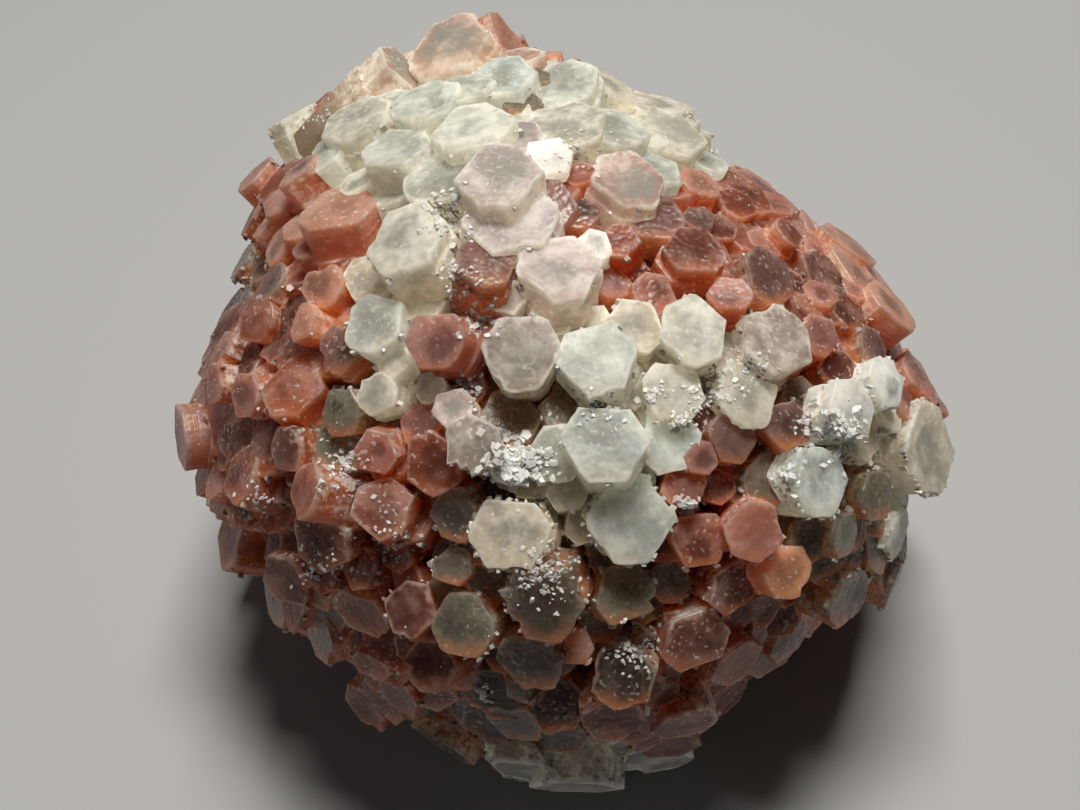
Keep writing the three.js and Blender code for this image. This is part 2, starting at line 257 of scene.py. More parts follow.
def toPart(point):
    return (viewAxes @ point + ballMiddle) * mm


def swing(serial, rate):  # an even, repeatable variation between -1 and 1
    return math.sin(serial * rate + 1.3)


def scatter(seed):  # a repeatable number between 0 and 1 with no pattern in it
    return math.modf(abs(math.sin(seed * 12.9898 + 4.1)) * 43758.5453)[0]


def outlineRadius(across, up):
    angle = math.degrees(math.atan2(up, across))
    for (startAngle, startRadius), (endAngle, endRadius) in zip(outline, outline[1:]):
        if angle <= endAngle:
            break
    share = (angle - startAngle) / (endAngle - startAngle)
    share = share * share * (3 - 2 * share)
    return startRadius + (endRadius - startRadius) * share


def frontEnd(across, up, rise):
    share = min(math.hypot(across, up) / outlineRadius(across, up), 1)
    depth = dome["frontDepth"] * math.sqrt(1 - share**2) + dome["rimDepth"] * share**2 + rise
    nearness = 1 - depth / dome["eyeDistance"]
    return Vector((across * nearness, up * nearness, depth))


def toEye(end):
    return (Vector((0, 0, dome["eyeDistance"])) - end).normalized()


def toLight(end):
    lamp = viewAxes.transposed() @ (Vector(studio["key"]["place"]) / mm - ballMiddle)
    return (lamp - end).normalized()


def crystalPlan():
    plan = []
    for serial, row in enumerate(listedCrystals):
        across, up, width, rise, tone = row[:5]
        turn = row[5] if len(row) > 5 else crystalShape["turn"] * swing(serial, 2.3)
        lean = Vector((row[6], row[7], 0)) if len(row) > 7 else Vector((0, 0, 0))
        finish = tones[tone][0]
        end = frontEnd(across, up, rise + crystalShape["stagger"][finish] * swing(serial, 4.7))
        lean += crystalShape["wobble"][finish] * Vector((swing(serial, 1.9), swing(serial, 3.1), 0))
        outward = ((end - dome["growthCentre"]).normalized() + lean).normalized()
        if tone == "paintedGlint":  # its end mirrors the key light to the eye
            outward = (toEye(end) + toLight(end)).normalized()
        width *= crystalShape["cornerShare"] * (1 - end.z / dome["eyeDistance"])
        plan.append((end, outward, width, tone, turn, serial, False))
    listed = list(plan)
    for serial, (end, filler) in enumerate(fillerEnds()):
        width = filler["width"] * (1 + fillerSpread * swing(serial, 2.9))
        gap, nearest = min(
            ((other[0] - end).length - filler["clearance"] * (other[2] + width), index)
            for index, other in enumerate(listed)
        )
        if gap < 0 or end.dot(floorUp) < -dome["restDepth"]:
            continue
        tone = fillerTone(end, listed[nearest][3], gap, serial)
        wobble = crystalShape["wobble"][tones[tone][0]]
        lean = wobble * Vector((swing(serial, 1.9), swing(serial, 3.1), 0))
        outward = ((end - dome["growthCentre"]).normalized() + lean).normalized()
        turn = crystalShape["fillerTurn"] * swing(serial, 2.3)
        plan.append((end, outward, width, tone, turn, serial + 500, True))
    return plan


# Evenly spread places all over the ball
def fillerEnds():
    ends = []
    for filler in fillers:
        nearest, furthest = filler["depths"]
        for number in range(filler["count"]):
            height = 1 - (2 * number + 1) / filler["count"]
            angle = number * goldenAngle
            ring = math.sqrt(1 - height**2) * outlineRadius(math.cos(angle), math.sin(angle))
            depth = height * (dome["frontDepth"] if height > 0 else dome["backDepth"])
            end = Vector((math.cos(angle) * ring, math.sin(angle) * ring, depth))
            if nearest <= depth < furthest:
                reach = filler["reach"] + filler["uneven"] * swing(number, 1.7)
                ends.append((end * reach, filler))
    return ends


def fillerTone(end, nearestTone, gap, serial):
    if gap < sameColourWithin:
        return deeperTone.get(nearestTone, nearestTone) if serial % 3 else nearestTone
    band = math.sin(end.x * 0.09 + 1.1) + math.sin(end.y * 0.12 - end.z * 0.07)
    band += 0.5 * swing(serial, 2.7)
    return farTones[min(int((band + 2.5) / 5 * len(farTones)), len(farTones) - 1)]


# Corners of a hexagon with straight, unequal sides, and evenly spaced points between them
def hexagonOutline(half, perSide, serial):
    sides = []
    for number in range(6):
        sideSwing = crystalShape["sideSwing"] * swing(serial * 6 + number, 1.9)
        facing = math.radians(60 * number + 30 + sideSwing)
        sideShift = crystalShape["sideShift"] * swing(serial * 6 + number, 2.6)
        sides.append((facing, half * crystalShape["flatShare"] * (1 + sideShift)))
    corners = []
    for (facing, reach), (nextFacing, nextReach) in zip(sides, sides[1:] + sides[:1]):
        cross = math.sin(nextFacing - facing)
        corners.append(Vector((
            (reach * math.sin(nextFacing) - nextReach * math.sin(facing)) / cross,
            (nextReach * math.cos(facing) - reach * math.cos(nextFacing)) / cross,
        )))
    points = []
    blunt, sharp = crystalShape["blunt"], crystalShape["sharp"]
    limit = half * (blunt + (sharp - blunt) * scatter(serial * 3 + 1))
    for corner, following in zip(corners, corners[1:] + corners[:1]):
        for step in range(perSide):
            point = corner.lerp(following, step / perSide)
            points.append(point * min(limit / point.length, 1))
    return points


# Height and share of the full width, ring by ring up a crystal that steps in and out
def crystalRings(half, serial):
    shape = crystalShape
    rings = [(-shape["length"], shape["stemTaper"])]
    share = 1 + shape["ledge"] / half * swing(serial, 2.9)
    height = -shape["plate"] * (shape["plates"] + 0.5)
    for plate in range(shape["plates"]):
        rings.append((height, share))
        share = 1 + shape["ledge"] / half * swing(serial * 3 + plate, 2.1) ** 3
        rings.append((height + shape["ledgeHeight"], share))
        height += shape["plate"] * (1 + shape["plateSpread"] * swing(serial * 3 + plate, 1.4))
    return rings + [(-shape["rimDrop"], 1), (0, 1 - shape["rimDrop"] / half)]


# How far a point stands out of its side or into it; some sides are rough and some nearly clean
def raggedness(tooth, serial, side, number, plate):
    cleanest, roughest = crystalShape["cleanest"], crystalShape["roughest"]
    rough = cleanest + (roughest - cleanest) * scatter(serial * 17 + side) ** 2
    ragged = tooth * rough * (2 * scatter(serial * 97 + number // 2 * 7 + plate) - 1)
    if scatter(serial * 41 + number) < crystalShape["notches"]:
        ragged -= 2 * tooth * rough
    return ragged


# What the finishes read: depth below the end, 0 at its heart to 1 at its rim, a number of the crystal's
# own, and its colour
def paintLayers(mesh):
    numbers = mesh.loops.layers.float
    tone = mesh.loops.layers.float_color.new("tone")
    return numbers.new("below"), numbers.new("rim"), numbers.new("chance"), tone


def paintCrystal(mesh, heart, toneName, serial):
    finish, colour = tones[toneName]
    below, rim, chance, tone = paintLayers(mesh)
    tint = 1 + crystalShape["tint"] * swing(serial, 5.1)
    warmth = 1 + crystalShape["warmth"] * swing(serial, 4.3)
    painted = (colour[0] * tint * warmth, colour[1] * tint, colour[2] * tint / warmth, 1)
    for face in mesh.faces:
        face.material_index = finishes.index(finish)
        for loop in face.loops:
            loop[below] = 0 if loop.vert is heart else max(-loop.vert.co.z, 0)
            loop[rim] = 0 if loop.vert is heart else 1
            loop[chance] = (serial * 0.618) % 1
            loop[tone] = painted


# One crystal, built upward along Z with its end at height 0
def crystalMesh(width, toneName, turn, serial, isFiller):
    shape = crystalShape
    half = width / 2
    spacing = shape["fillerPointSpacing"] if isFiller else shape["pointSpacing"]
    perSide = max(round(half / spacing), 2)
    rings = crystalRings(half, serial)
    hexagon = hexagonOutline(half, perSide, serial)
    tooth = shape["tooth"][tones[toneName][0]] * min(half / 3, 1)  # small crystals are finer
    mesh = bmesh.new()
    bmesh.ops.create_cone(mesh, cap_ends=True, segments=len(hexagon), radius1=1, radius2=1, depth=2)
    lower, top = sorted(
        (face for face in mesh.faces if abs(face.normal.z) > 0.9),
        key=lambda face: face.calc_center_median().z,
    )
    foot, above = list(lower.verts)[::-1], list(top.verts)  # brought in step, corner under corner
    start = min(range(len(foot)), key=lambda index: (foot[index].co - above[0].co).xy.length)
    levels = [foot[start:] + foot[:start], above]
    for _ in rings[2:]:  # the cone has given the first two
        top = bmesh.ops.extrude_discrete_faces(mesh, faces=[top])["faces"][0]
        levels.append(list(top.verts))
    for level, ((height, share), corners) in enumerate(zip(rings, levels)):
        plate = (level + 1) // 2
        for number, (corner, point) in enumerate(zip(corners, hexagon)):
            ragged = 0
            if level and number % perSide:
                ragged = raggedness(tooth, serial, number // perSide, number, plate)
            corner.co.xy = point * share + point.normalized() * ragged
            corner.co.z = height
    heart = bmesh.ops.poke(mesh, faces=[top])["verts"][0]
    heart.co.xy = half * shape["heartShift"] * Vector((swing(serial, 1.7), swing(serial, 2.6)))
    heart.co.z = shape["peak"] * swing(serial, 3.7) ** 3
    bmesh.ops.rotate(mesh, verts=mesh.verts, matrix=Matrix.Rotation(math.radians(turn), 3, "Z"))
    paintCrystal(mesh, heart, toneName, serial)
    return mesh, levels[-2]


# Turns and moves a crystal to its place, and notes which side of it lies lower in the cluster
def placeCrystal(mesh, end, outward, half):
    side = Vector((1, 0, 0)) - outward * outward.x
    if side.length < 0.2:
        side = Vector((0, 1, 0)) - outward * outward.y
    side.normalize()
    ahead = outward.cross(side)
    turnOut = Matrix((side, ahead, outward)).transposed()
    lower = mesh.loops.layers.float.new("lower")
    for face in mesh.faces:
        for loop in face.loops:
            corner = loop.vert.co
            loop[lower] = 0.5 - 0.5 * (turnOut @ Vector((corner.x, corner.y, 0))).y / half
    bmesh.ops.transform(mesh, verts=mesh.verts, matrix=(viewAxes @ turnOut).to_4x4())
    bmesh.ops.translate(mesh, verts=mesh.verts, vec=viewAxes @ end + ballMiddle)
    bmesh.ops.scale(mesh, verts=mesh.verts, vec=(mm, mm, mm))


def addObject(name, mesh, materials, collection=None):
    data = bpy.data.meshes.new(name)
    mesh.to_mesh(data)
    mesh.free()
    for material in materials:
        data.materials.append(material)
    piece = bpy.data.objects.new(name, data)
    (collection or scene.collection).objects.link(piece)
    return piece


# The solid root that all the crystals stand in
root = {
    "inset": 6.6,  # mm below the crystals' ends
    "lumps": 0.5,  # mm
    "bareFrom": 0.5,  # below, the root comes out to the flat: where that starts, and over how much
    "bareOver": 0.25,
    "colour": (0.24, 0.07, 0.035),
    "groundSize": 0.4,  # metres, the block that cuts the flat
}


def rootMesh():
    mesh = bmesh.new()
    bmesh.ops.create_icosphere(mesh, subdivisions=5, radius=1)
    for corner in mesh.verts:
        way = corner.co.normalized()
        reach = outlineRadius(way.x, way.y) * fillers[1]["reach"]
        depth = dome["frontDepth"] if way.z > 0 else dome["backDepth"]
        radius = 1 / math.hypot(math.hypot(way.x, way.y) / reach, way.z / depth)
        lump = math.sin(way.x * 23) * math.sin(way.y * 27 + 1) * math.sin(way.z * 25 + 2)
        lump += math.sin(way.x * 51 + way.y * 43) * math.sin(way.z * 57)
        bare = min(max((-way.dot(floorUp) - root["bareFrom"]) / root["bareOver"], 0), 1)
        corner.co = way * (radius - root["inset"] * (1 - bare) + root["lumps"] * lump)
    below, rim, chance, tone = paintLayers(mesh)
    lower = mesh.loops.layers.float.new("lower")
    for face in mesh.faces:
        face.material_index = finishes.index("rooty")
        for loop in face.loops:
            loop[below] = root["inset"]
            loop[rim] = 1
            loop[chance] = 0.5
            loop[lower] = 0.5
            loop[tone] = (*root["colour"], 1)
    bmesh.ops.transform(mesh, verts=mesh.verts, matrix=viewAxes.to_4x4())
    bmesh.ops.translate(mesh, verts=mesh.verts, vec=ballMiddle)
    bmesh.ops.scale(mesh, verts=mesh.verts, vec=(mm, mm, mm))
    return mesh


# Joins the root and the crystals into one closed mesh, cut off flat where it rests
def growCluster(materials):
    plan = crystalPlan()
    print("crystals:", len(plan))
    cluster = addObject("crystal_cluster_stone", rootMesh(), materials)
    seed = bpy.data.collections.new("crystals")
    scene.collection.children.link(seed)
    rims = []
    for end, outward, width, toneName, turn, serial, isFiller in plan:
        mesh, edge = crystalMesh(width, toneName, turn, serial, isFiller)
        placeCrystal(mesh, end, outward, width / 2)
        rims.append((toneName, viewAxes @ outward, [corner.co.copy() for corner in edge]))
        addObject("crystal", mesh, materials, seed)
    join = cluster.modifiers.new("join", "BOOLEAN")
    join.operation = "UNION"
    join.solver = "MANIFOLD"
    join.operand_type = "COLLECTION"
    join.collection = seed
    ground = bmesh.new()
    bmesh.ops.create_cube(ground, size=root["groundSize"])
    bmesh.ops.translate(ground, verts=ground.verts, vec=(0, 0, -root["groundSize"] / 2))
    block = addObject("ground", ground, [])
    cut = cluster.modifiers.new("cut", "BOOLEAN")
    cut.operation = "DIFFERENCE"
    cut.solver = "MANIFOLD"
    cut.object = block
    view = bpy.context.evaluated_depsgraph_get()
    joined = bpy.data.meshes.new_from_object(cluster.evaluated_get(view))
    cluster.modifiers.clear()
    cluster.data = joined
    for crystal in list(seed.objects):
        bpy.data.objects.remove(crystal)
    bpy.data.collections.remove(seed)
    bpy.data.objects.remove(block)
    return cluster, rims


# Shader sums: a socket that takes part in plain arithmetic
class Field:
    def __init__(self, recipe, socket):
        self.recipe = recipe
        self.socket = socket

    def __add__(self, other):
        return self.recipe.maths("ADD", self, other)

    def __radd__(self, other):
        return self.recipe.maths("ADD", other, self)

    def __sub__(self, other):
        return self.recipe.maths("SUBTRACT", self, other)

    def __rsub__(self, other):
        return self.recipe.maths("SUBTRACT", other, self)

    def __mul__(self, other):
        return self.recipe.maths("MULTIPLY", self, other)

    def __rmul__(self, other):
        return self.recipe.maths("MULTIPLY", other, self)


# A material and the nodes it is made of
class Recipe:
    def __init__(self, name):
        self.material = bpy.data.materials.new(name)
        self.material.use_nodes = True
        self.tree = self.material.node_tree
        self.tree.nodes.clear()

    def node(self, kind, settings=None, sockets=None, output=0):
        made = self.tree.nodes.new(kind)
        for key, value in (settings or {}).items():
            setattr(made, key, value)
        for key, value in (sockets or {}).items():
            if isinstance(value, Field):
                self.tree.links.new(value.socket, made.inputs[key])
            else:
                made.inputs[key].default_value = value
        return None if output is None else Field(self, made.outputs[output])

    def maths(self, operation, *values):
        return self.node("ShaderNodeMath", {"operation": operation}, dict(enumerate(values)))

    def attribute(self, name, output="Fac"):
        return self.node("ShaderNodeAttribute", {"attribute_name": name}, output=output)

    def noise(self, place, scale, detail, roughness):
        sockets = {"Vector": place, "Scale": scale, "Detail": detail, "Roughness": roughness}
        return self.node("ShaderNodeTexNoise", {"noise_dimensions": "3D"}, sockets)

    def ease(self, value, start, end, low=0.0, high=1.0):  # smooth step from low to high
        sockets = {"Value": value, 1: start, 2: end, 3: low, 4: high}
        return self.node("ShaderNodeMapRange", {"interpolation_type": "SMOOTHSTEP"}, sockets)

    def mix(self, share, first, second, blend="MIX"):  # 6, 7 and 2 are the sockets for colours
        second = (*second, 1) if isinstance(second, tuple) else second
        settings = {"data_type": "RGBA", "blend_type": blend, "clamp_factor": True}
        return self.node("ShaderNodeMix", settings, {0: share, 6: first, 7: second}, 2)

    def along(self, vector, axis):  # one component of a vector
        return self.node("ShaderNodeSeparateXYZ", None, {"Vector": vector}, axis)

    def finish(self, shader):
        self.node("ShaderNodeOutputMaterial", None, {"Surface": shader}, None)
        return self.material


# Finishes: scatter in mm for red, green and blue, how much of the light scatters and how much passes
# straight in, and what the colour turns to: painted shade down in the clefts, its clouds, its core, and
# a painted glow along its lower edge and sides. The painted shade in the clefts grows from the first to
# the second depth, in mm below an end
stoneFinish = {
    "milky": {
        "scatter": (6.0, 5.7, 4.8), "cloudy": 0.8, "clear": 0.0, "roughness": 0.5, "cleftShadeFrom": 4.0,
        "cleftShadeTo": 11.0, "cleftShadeColour": (0.22, 0.16, 0.095), "veil": (0.76, 0.75, 0.67), "veilShare": 0.36,
        "core": (0.25, 0.245, 0.21), "coreShare": 0.8, "paintedGlow": (0.62, 0.50, 0.33), "paintedGlowShare": 0.3,
        "crustAndPaintedLightShare": 0.7, "mottle": 0.55,
    },
    "glassy": {
        "scatter": (5.0, 2.8, 1.9), "cloudy": 0.75, "clear": 0.3, "roughness": 0.3, "cleftShadeFrom": 1.5,
        "cleftShadeTo": 6.5, "cleftShadeColour": (0.085, 0.036, 0.022), "veil": (0.46, 0.34, 0.27), "veilShare": 0.18,
        "core": (0.06, 0.042, 0.033), "coreShare": 0.66, "paintedGlow": (0.68, 0.23, 0.085), "paintedGlowShare": 0.75,
        "crustAndPaintedLightShare": 0.65, "mottle": 0.4,
    },
    "rusty": {
        "scatter": (5.0, 1.8, 0.9), "cloudy": 0.75, "clear": 0.0, "roughness": 0.38, "cleftShadeFrom": 1.5,
        "cleftShadeTo": 6.5, "cleftShadeColour": (0.1, 0.024, 0.012), "veil": (0.5, 0.31, 0.25), "veilShare": 0.34,
        "core": (0.06, 0.02, 0.016), "coreShare": 0.55, "paintedGlow": (0.5, 0.145, 0.05), "paintedGlowShare": 0.58,
        "crustAndPaintedLightShare": 0.5, "mottle": 0.3,
    },
    "rooty": {
        "scatter": (1.0, 0.4, 0.3), "cloudy": 0.5, "clear": 0.0, "roughness": 0.5, "cleftShadeFrom": 1.0,
        "cleftShadeTo": 5.0, "cleftShadeColour": (0.06, 0.018, 0.01), "veil": (0.3, 0.18, 0.12), "veilShare": 0.5,
        "core": (0.2, 0.1, 0.06), "coreShare": 0.0, "paintedGlow": (0.3, 0.09, 0.03), "paintedGlowShare": 0.2,
        "crustAndPaintedLightShare": 0.7, "mottle": 0.5,
    },
}
surfaceDetail = {
    "cloudScale": 290.0,  # how fine each pattern is, in waves to the metre
    "streakScale": 420.0,
    "reliefScale": 1250.0,
    "patchScale": 150.0,
    "paintedSparkleScale": 2600.0,
    "hazeFade": (0.52, 0.86),  # where in its pattern each of these begins, and where it is full
    "shadeFade": (0.42, 0.78),
    "veinFade": (0.0, 0.012),
    "marginFade": (1.0, 1.16),
    "crustAndPaintedLightFade": (0.7, 0.98),
    "paintedSparkleFade": (0.68, 0.73),
    "endFade": (0.15, 0.7),  # mm below an end, where it turns into the sides
    "sideFade": (0.05, 1.2),
    "edgeFade": (0.55, 0.95),  # across an end, from 0 at its upper edge to 1 at its lower
    "upperFade": (0.0, 0.6),  # how far a face looks up
    "veinShare": 0.3,
    "paintedSparkleShare": 0.35,
    "crustAndPaintedLightColour": (0.80, 0.75, 0.65),
    "bumpStrength": 0.6,
    "reliefDepth": 0.00024,  # metres
    "striaDepth": 0.1,  # as a share of that
    "striaSpacing": 0.35,  # mm
    "ior": 1.6,
    "shine": 0.22,
}


def stoneMaterial(finish):
    values = stoneFinish[finish]
    detail = surfaceDetail
    recipe = Recipe("aragonite_" + finish)
    place = recipe.node("ShaderNodeTexCoord", output="Object")
    facing = recipe.along(recipe.node("ShaderNodeNewGeometry", output="Normal"), "Z")
    tone = recipe.attribute("tone", "Color")
    below = recipe.attribute("below")
    rim = recipe.attribute("rim")
    lower = recipe.attribute("lower")
    chance = recipe.attribute("chance")
    endShare = 1 - recipe.ease(below, *detail["endFade"])
    cloud = recipe.noise(place, detail["cloudScale"], 2, 0.66)
    streak = recipe.noise(place, detail["streakScale"], 1, 0.6)
    relief = recipe.noise(place, detail["reliefScale"], 1, 0.85)
    patch = recipe.noise(place, detail["patchScale"], 1, 0.5)

    # Clouds inside the crystal, a deeper core with a hazy or a crisp border, faint veins and a pale rim
    haze = recipe.ease(cloud + relief * 0.35, *detail["hazeFade"])
    colour = recipe.mix(haze * values["veilShare"], tone, values["veil"])
    darkest = 1 - 0.5 * values["mottle"]
    shade = recipe.ease(cloud * 0.8 + relief * 0.35, *detail["shadeFade"], darkest, 1.06)
    colour = recipe.mix(1.0, colour, shade, "MULTIPLY")
    border = recipe.ease(chance, 0.3, 0.8, 0.8, 0.3)
    core = 1 - recipe.ease(rim + cloud * 0.9 + patch * 0.7, 1.05, border + 1.1)
    core = core * endShare * recipe.ease(recipe.maths("FRACT", chance * 7.0), 0.1, 0.6, 0.35, 1.0)
    core = core * (1.1 - haze * values["mottle"])
    colour = recipe.mix(core * values["coreShare"], colour, values["core"])
    vein = 1 - recipe.ease(recipe.maths("ABSOLUTE", streak - 0.5), *detail["veinFade"])
    vein = vein * recipe.ease(patch, 0.45, 0.6) * detail["veinShare"]
    colour = recipe.mix(vein, colour, values["veil"])
    margin = recipe.ease(rim + relief * 0.3, *detail["marginFade"]) * endShare
    margin = margin * recipe.ease(streak, 0.3, 0.6, 0.15, 0.7)
    colour = recipe.mix(margin, colour, values["veil"])

    # Painted glow: the lower edge of an end and the sides take the glow colour as if light came through
    # the stone, and painted shade darkens the clefts
    wave = below * (2 * math.pi / detail["striaSpacing"])
    wave = wave + recipe.maths("SINE", below * 5.3) * 2 + chance * 9
    stria = recipe.maths("SINE", wave) * recipe.ease(below, 0.1, 0.3)
    side = recipe.ease(below, *detail["sideFade"]) * recipe.ease(streak + stria * 0.08, 0.36, 0.6)
    edge = recipe.ease(lower, *detail["edgeFade"]) * recipe.ease(rim + streak * 0.8, 0.7, 1.3)
    edge = edge * recipe.ease(patch, 0.25, 0.5)
    # painted glow, strongest on the sides and along the lower edge of an end
    paintedGlow = recipe.maths("MAXIMUM", side, edge) * values["paintedGlowShare"]
    colour = recipe.mix(paintedGlow, colour, values["paintedGlow"])
    # painted shade: the clefts darken toward their shade colour with depth below an end
    paintedCleftShade = recipe.ease(below, values["cleftShadeFrom"], values["cleftShadeTo"], 0.0, 0.9)
    colour = recipe.mix(paintedCleftShade, colour, values["cleftShadeColour"])

    # White crust on the upper sides, laid on by how far a face looks up, so it is also painted top
    # light, and painted sparkle highlights on the ends
    upper = recipe.ease(facing, *detail["upperFade"]) * recipe.ease(below, 0.1, 0.4)
    # partly crust and partly painted top light: faces that look up are whitened
    crust = recipe.ease(relief * 0.8 + patch * 0.7, *detail["crustAndPaintedLightFade"]) * upper
    crust = crust * values["crustAndPaintedLightShare"]
    # painted sparkle highlights: small white specks on the ends
    paintedSparkle = recipe.ease(recipe.noise(place, detail["paintedSparkleScale"], 0, 0.5), *detail["paintedSparkleFade"])
    paintedSparkle = paintedSparkle * recipe.ease(patch, 0.35, 0.6) * detail["paintedSparkleShare"]
    crust = recipe.maths("MAXIMUM", crust, paintedSparkle)
    colour = recipe.mix(crust, colour, detail["crustAndPaintedLightColour"])

    # Growth lines round the sides, and an etched, uneven surface
    bumped = recipe.node("ShaderNodeBump", None, {
        "Strength": detail["bumpStrength"],
        "Distance": detail["reliefDepth"],
        "Height": relief + stria * detail["striaDepth"],
    })
    shader = recipe.node("ShaderNodeBsdfPrincipled", {"subsurface_method": "BURLEY"}, {
        "Base Color": colour,
        "Roughness": relief * 0.35 + crust * 0.2 + (values["roughness"] - 0.17),
        "IOR": detail["ior"],
        "Specular IOR Level": detail["shine"],
        "Normal": bumped,
        "Subsurface Weight": values["cloudy"],
        "Subsurface Radius": values["scatter"],
        "Subsurface Scale": mm,
        "Transmission Weight": values["clear"],
    })
    return recipe.finish(shader)


# Druse: crumbs and tiny crystals on the rims, in the clefts and on the lit upper sides
druse = {
    "seed": 11,
    "patches": [  # across, up, spread, how many, mean size
        (-4.3, -5.2, 2.2, 200, 0.6), (-3.2, -6.4, 3.4, 90, 0.4), (-9, 2.2, 1.6, 30, 0.45),
        (15.5, 2, 2.0, 70, 0.45), (28, -2.6, 2.8, 110, 0.6), (12.7, -9.4, 1.2, 30, 0.5),
        (22.8, -6.5, 1.4, 30, 0.45), (24.5, -1.5, 1.2, 20, 0.45), (-7.2, -28.3, 1.0, 14, 0.6),
        (-8, 9, 2.0, 60, 0.45), (9.2, 1.5, 1.2, 40, 0.4), (-1.7, -16.4, 3.0, 110, 0.35),
        (7.5, -23.5, 2.6, 90, 0.35), (-21.5, -6, 2.6, 90, 0.4), (-30, -9, 2.4, 50, 0.35),
        (-11.5, 19.5, 2.4, 90, 0.4), (-10.5, 13.5, 2.2, 60, 0.4), (4, 0.6, 2.0, 40, 0.35),
        (19, 4, 2.2, 60, 0.35), (-24, -16, 2.4, 50, 0.35), (13, -1, 2.0, 50, 0.35),
        (-16.5, -13, 2.4, 40, 0.3), (2, 26, 3, 50, 0.3),
    ],
    "rimTones": {  # crumbs to each mm of rim
        "pale": 1.6, "hazy": 1.2, "cool": 1.2, "cream": 1.6, "lilac": 1.2, "ashen": 1.4,
        "white": 1.0, "blush": 0.9, "slate": 0.3, "smoky": 1.0, "mauve": 0.5, "olive": 0.6,
        "peach": 0.3, "rose": 0.25, "rust": 0.25, "wine": 0.3,
    },
    "rimSize": 0.56,
    "rimDepth": 2.0,  # mm below the rim at most
    "rimOut": 0.12,  # mm out of the side
    "rimReach": 0.3,  # mm from the stone at most, past which a crumb would hang in the air
    "bareAbove": 0.052,  # metres above the floor, where the rims are nearly clean
    "bareShare": 0.15,
    "scattered": {"crust": 1700, "ends": 1700},
    "scatteredSize": {"crust": 0.24, "ends": 0.1},
    "litAbove": 0.008,  # metres above the floor, where loose grains start
    "crustZone": (0.3, 4.5),  # mm below an end
    "lean": 0.4,
    "long": 1.8,  # height for a radius
    "perBatch": 60,  # grains made together, because a large bmesh is slow to add to
    "white": (0.92, 0.9, 0.84),
    "whiteness": {"patch": 0.75, "rim": 0.12, "loose": 0.6},  # 0 has the crystal's own colour
    "rimWhiter": 0.2,  # how much a crumb on a rim may be whiter than that
    "frost": (0.95, 0.94, 0.9),
    "frostScale": 1800.0,
    "frostShare": 0.3,
    "roughness": 0.32,
    "bumpStrength": 0.4,
    "bumpDepth": 0.00005,  # metres
    "cloudy": 0.4,
    "scatter": (0.5, 0.45, 0.35),  # mm
}


# Where the grains sit. A spot is a place, an axis, a size, the colour of the crystal under it and how
# white the grain is. First the patches that show from the eye point
def patchSpots(surface, hostTone, chances):
    spots = []
    eye = toPart(Vector((0, 0, dome["eyeDistance"])))
    whiteness = druse["whiteness"]["patch"]
    for across, up, spread, count, size in druse["patches"]:
        for _ in range(count):
            aim = Vector((chances.gauss(across, spread / 2), chances.gauss(up, spread / 2), 0))
            spot, facing, host, _ = surface.ray_cast(eye, (toPart(aim) - eye).normalized())
            if spot:
                grain = size * chances.uniform(0.5, 1.5)
                spots.append((spot, facing, grain, hostTone[host], whiteness))
    return spots


# Then the crumbs along the crystals' rims
def rimSpots(surface, hostTone, rims, chances):
    spots = []
    for toneName, axis, rim in rims:
        middle = sum(rim, Vector()) / len(rim)
        perLength = druse["rimTones"].get(toneName, 0)
        if rim[0].z >= druse["bareAbove"]:
            perLength *= druse["bareShare"]
        for start, end in zip(rim, rim[1:] + rim[:1]):
            expected = (end - start).length / mm * perLength
            for _ in range(int(expected + chances.random())):
                depth = druse["rimDepth"] * chances.random() ** 3
                size = druse["rimSize"] * chances.uniform(0.5, 1.3)
                spot = start.lerp(end, chances.random()) - axis * (depth + 0.35 * size) * mm
                spot += (spot - middle).normalized() * druse["rimOut"] * mm
                _, _, host, distance = surface.find_nearest(spot)
                if distance < druse["rimReach"] * mm:
                    whiteness = druse["whiteness"]["rim"] + druse["rimWhiter"] * chances.random()
                    spots.append((spot, axis, size, hostTone[host], whiteness))
    return spots


# Last the loose grains on faces that look up
def looseSpots(data, hostTone, chances):
    spots = []
    below = data.attributes["below"].data
    shown = [
        face for face in data.polygons if face.normal.z > 0.1 and face.center.z > druse["litAbove"]
    ]
    nearEnd, farEnd = druse["crustZone"]
    grounds = {
        "crust": [face for face in shown if nearEnd < below[face.loop_start].value < farEnd],
        "ends": [face for face in shown if below[face.loop_start].value < nearEnd],
    }
    for kind, faces in grounds.items():
        for face in chances.choices(faces, [face.area for face in faces], k=druse["scattered"][kind]):
            shares = [chances.random() for _ in face.vertices]
            corners = [data.vertices[index].co for index in face.vertices]
            weighted = (corner * share for corner, share in zip(corners, shares))
            spot = sum(weighted, Vector()) / sum(shares)
            size = druse["scatteredSize"][kind] * chances.uniform(0.4, 1.8)
            whiteness = druse["whiteness"]["loose"]
            spots.append((spot, face.normal.copy(), size, hostTone[face.index], whiteness))
    return spots


def druseSpots(cluster, rims, chances):
    data = cluster.data
    surface = BVHTree.FromPolygons(
        [corner.co for corner in data.vertices], [face.vertices for face in data.polygons],
    )
    corners = data.attributes["tone"].data
    hostTone = [corners[face.loop_start].color[:3] for face in data.polygons]
    spots = patchSpots(surface, hostTone, chances)
    spots += rimSpots(surface, hostTone, rims, chances)
    spots += looseSpots(data, hostTone, chances)
    return [spot for spot in spots if spot[0].z > spot[2] * mm]  # clear of the floor


